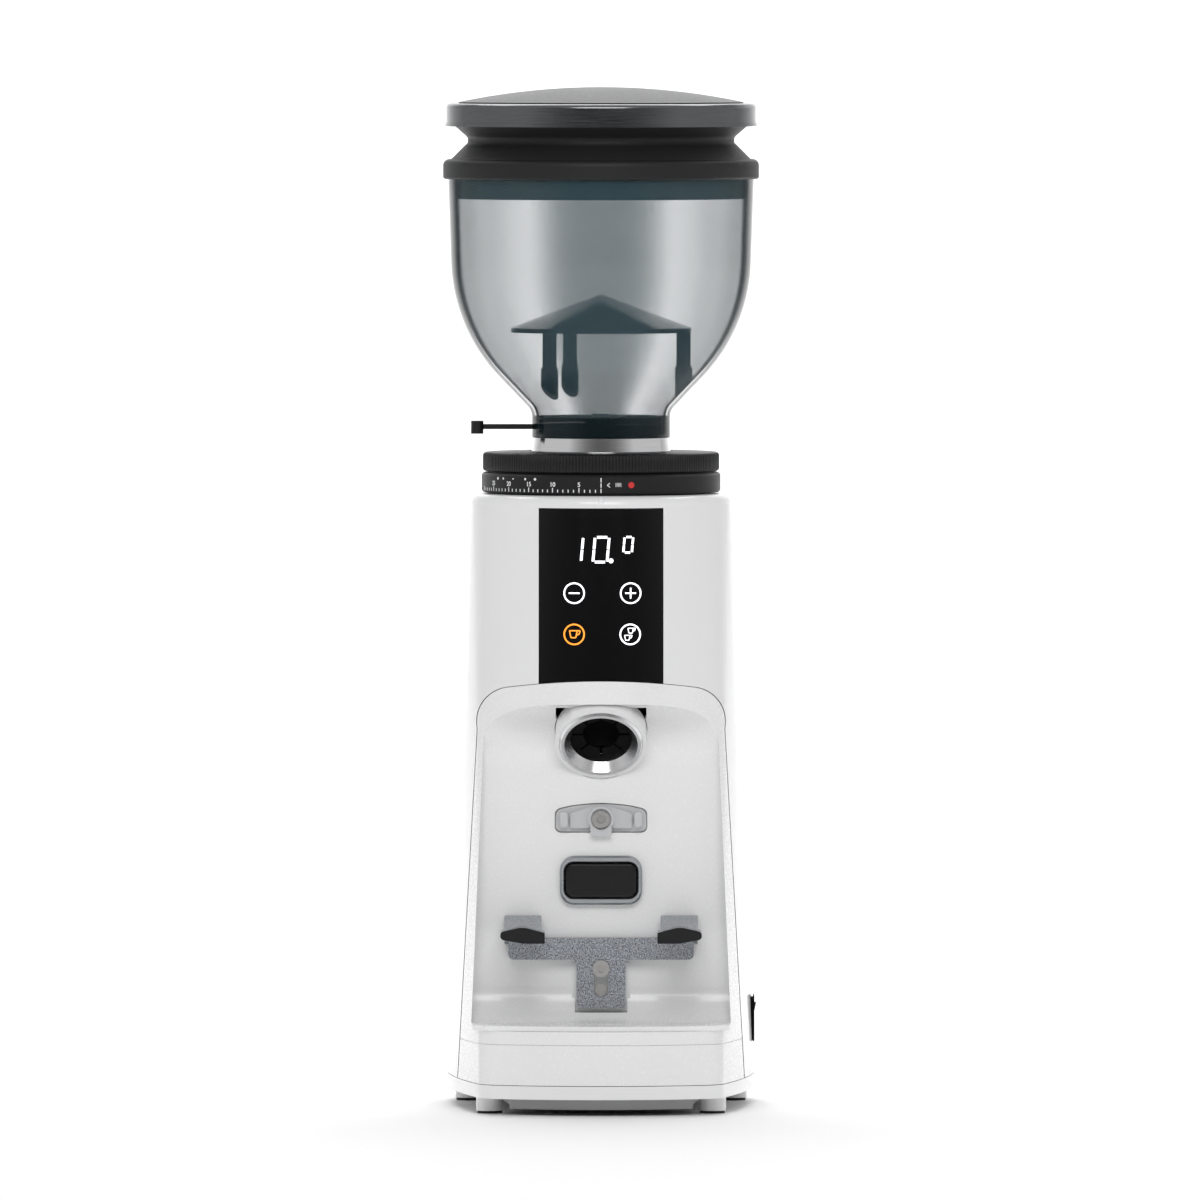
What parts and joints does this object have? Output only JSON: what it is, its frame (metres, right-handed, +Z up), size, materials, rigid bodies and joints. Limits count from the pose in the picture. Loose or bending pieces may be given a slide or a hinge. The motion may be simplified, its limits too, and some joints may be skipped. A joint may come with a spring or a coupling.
{
  "type": "burr coffee grinder",
  "caption": "Upright electric burr coffee grinder with a smoked bean hopper, grind adjusting collar, display, tilted chute and portafilter fork.",
  "frame": {"origin": "middle of the footprint's bounding box at table height", "axes": "+Z up, -Y to the front with the display and chute, +X to the right as seen from the front"},
  "size_m": [0.1528, 0.1978, 0.4926],
  "materials": {
    "baffle_sleeves": "translucent dark",
    "base_plate": "satin",
    "base_ring": "gloss",
    "base_screws": "plain",
    "bean_baffle": "satin",
    "bellows": "satin",
    "burr_housing": "cast",
    "button_spring": "spring wire",
    "capacitor": "plain",
    "carrier_nut": "plain",
    "carrier_springs": "spring wire",
    "chute_duct": "plain",
    "chute_flap": "soft",
    "chute_ring": "turned",
    "chute_socket": "gloss",
    "collar_screws": "plain",
    "control_board": "circuit board",
    "display_board": "circuit board",
    "display_panel": "gloss black",
    "feet": "gloss",
    "floor_tray": "gloss",
    "foot_pads": "matt",
    "fork": "sparkly cast",
    "fork_pads": "satin",
    "fork_screws": "plain",
    "front_panel": "gloss",
    "gate_lever": "gloss",
    "gate_pivot_screw": "plain",
    "gate_seat": "gloss",
    "grip_ring": "black anodised, ribbed",
    "hook_bracket": "satin",
    "hook_screw": "plain",
    "hopper": "smoked clear",
    "hopper_seat_ring": "polished",
    "lid_cap": "satin dark grey",
    "lid_collar": "satin",
    "lid_skirt": "satin",
    "lid_trim_ring": "dark polished",
    "lower_burr": "hardened",
    "lower_burr_carrier": "turned",
    "lower_burr_screws": "plain",
    "micro_switch": "plain",
    "motor_housing": "plain",
    "motor_mount": "cast",
    "motor_rotor": "turned",
    "motor_shaft": "ground",
    "motor_stator": "laminated",
    "outer_shell": "gloss",
    "portafilter_button": "gloss",
    "power_inlet": "plain with steel pins",
    "power_rocker": "gloss",
    "rocker_frame": "satin",
    "scale_ring": "satin with white scale",
    "shaft_bearings": "ground",
    "stator_windings": "enamelled copper wire",
    "switch_bezel": "satin",
    "top_bezel": "gloss",
    "upper_burr": "hardened",
    "upper_burr_carrier": "turned",
    "upper_burr_screws": "plain"
  },
  "bodies": {
    "body": {"base_plate": "base_plate", "base_ring": "base_ring", "base_screws": "base_screws", "burr_housing": "burr_housing", "button_spring": "button_spring", "capacitor": "capacitor", "carrier_springs": "carrier_springs", "chute_duct": "chute_duct", "chute_flap": "chute_flap", "chute_ring": "chute_ring", "chute_socket": "chute_socket", "control_board": "control_board", "display_board": "display_board", "display_panel": "display_panel", "feet": "feet", "foot_pads": "foot_pads", "fork_screws": "fork_screws", "front_panel": "front_panel", "hook_bracket": "hook_bracket", "hook_screw": "hook_screw", "micro_switch": "micro_switch", "motor_housing": "motor_housing", "motor_mount": "motor_mount", "motor_stator": "motor_stator", "outer_shell": "outer_shell", "power_inlet": "power_inlet", "rocker_frame": "rocker_frame", "shaft_bearings": "shaft_bearings", "stator_windings": "stator_windings", "switch_bezel": "switch_bezel", "top_bezel": "top_bezel"},
    "collar": {"grip_ring": "grip_ring", "scale_ring": "scale_ring", "collar_screws": "collar_screws"},
    "carrier": {"upper_burr_carrier": "upper_burr_carrier", "upper_burr": "upper_burr", "upper_burr_screws": "upper_burr_screws", "hopper_seat_ring": "hopper_seat_ring"},
    "bowl": {"hopper": "hopper", "gate_seat": "gate_seat", "gate_pivot_screw": "gate_pivot_screw"},
    "gate": {"gate_lever": "gate_lever"},
    "baffle": {"bean_baffle": "bean_baffle", "baffle_sleeves": "baffle_sleeves"},
    "lid_base": {"lid_collar": "lid_collar", "lid_skirt": "lid_skirt", "bellows": "bellows"},
    "lid_top": {"lid_cap": "lid_cap", "lid_trim_ring": "lid_trim_ring"},
    "rotor": {"motor_shaft": "motor_shaft", "motor_rotor": "motor_rotor", "lower_burr_carrier": "lower_burr_carrier", "lower_burr": "lower_burr", "lower_burr_screws": "lower_burr_screws", "carrier_nut": "carrier_nut"},
    "button": {"portafilter_button": "portafilter_button"},
    "fork": {"fork": "fork", "fork_pads": "fork_pads"},
    "rocker": {"power_rocker": "power_rocker"},
    "tray": {"floor_tray": "floor_tray"}
  },
  "joints": [
    {"name": "collar_turn", "type": "hinge", "parent": "body", "child": "collar", "pos_m": [0, 0.01107, 0.307], "axis": [0, 0, 1], "range_deg": [0, 300]},
    {"name": "carrier_raise", "type": "slide", "parent": "body", "child": "carrier", "axis": [0, 0, 1], "range_m": [0, 0.00108], "deforming": ["carrier_springs"]},
    {"name": "hopper_lift", "type": "slide", "parent": "carrier", "child": "bowl", "axis": [0, 0, 1], "range_m": [0, 0.08]},
    {"name": "gate_swing", "type": "hinge", "parent": "bowl", "child": "gate", "pos_m": [0, 0.01107, 0.328], "axis": [0, 0, -1], "range_deg": [0, 80]},
    {"name": "baffle_lift", "type": "slide", "parent": "bowl", "child": "baffle", "axis": [0, 0, 1], "range_m": [0, 0.04]},
    {"name": "lid_lift", "type": "slide", "parent": "bowl", "child": "lid_base", "axis": [0, 0, 1], "range_m": [0, 0.06]},
    {"name": "bellows_press", "type": "slide", "parent": "lid_base", "child": "lid_top", "axis": [0, 0, -1], "range_m": [0, 0.01], "stiffness_N_per_m": 300, "springref_m": -0.01, "deforming": ["bellows"]},
    {"name": "burr_spin", "type": "hinge", "parent": "body", "child": "rotor", "pos_m": [0, 0.01107, 0.2], "axis": [0, 0, 1], "continuous": true},
    {"name": "button_press", "type": "slide", "parent": "body", "child": "button", "axis": [0, 1, 0], "range_m": [0, 0.0018], "stiffness_N_per_m": 300, "springref_m": -0.002},
    {"name": "fork_height", "type": "slide", "parent": "body", "child": "fork", "axis": [0, 0, 1], "range_m": [0, 0.009]},
    {"name": "rocker_tilt", "type": "hinge", "parent": "body", "child": "rocker", "pos_m": [0.068, 0.02107, 0.0416], "axis": [0, -1, 0], "range_deg": [0, 12]},
    {"name": "tray_slide", "type": "slide", "parent": "body", "child": "tray", "axis": [0, -1, 0], "range_m": [0, 0.065]}
  ],
  "couplings": [
    {"joint": "carrier_raise", "follows": "collar_turn", "m_per_rad": 0.00019894}
  ]
}
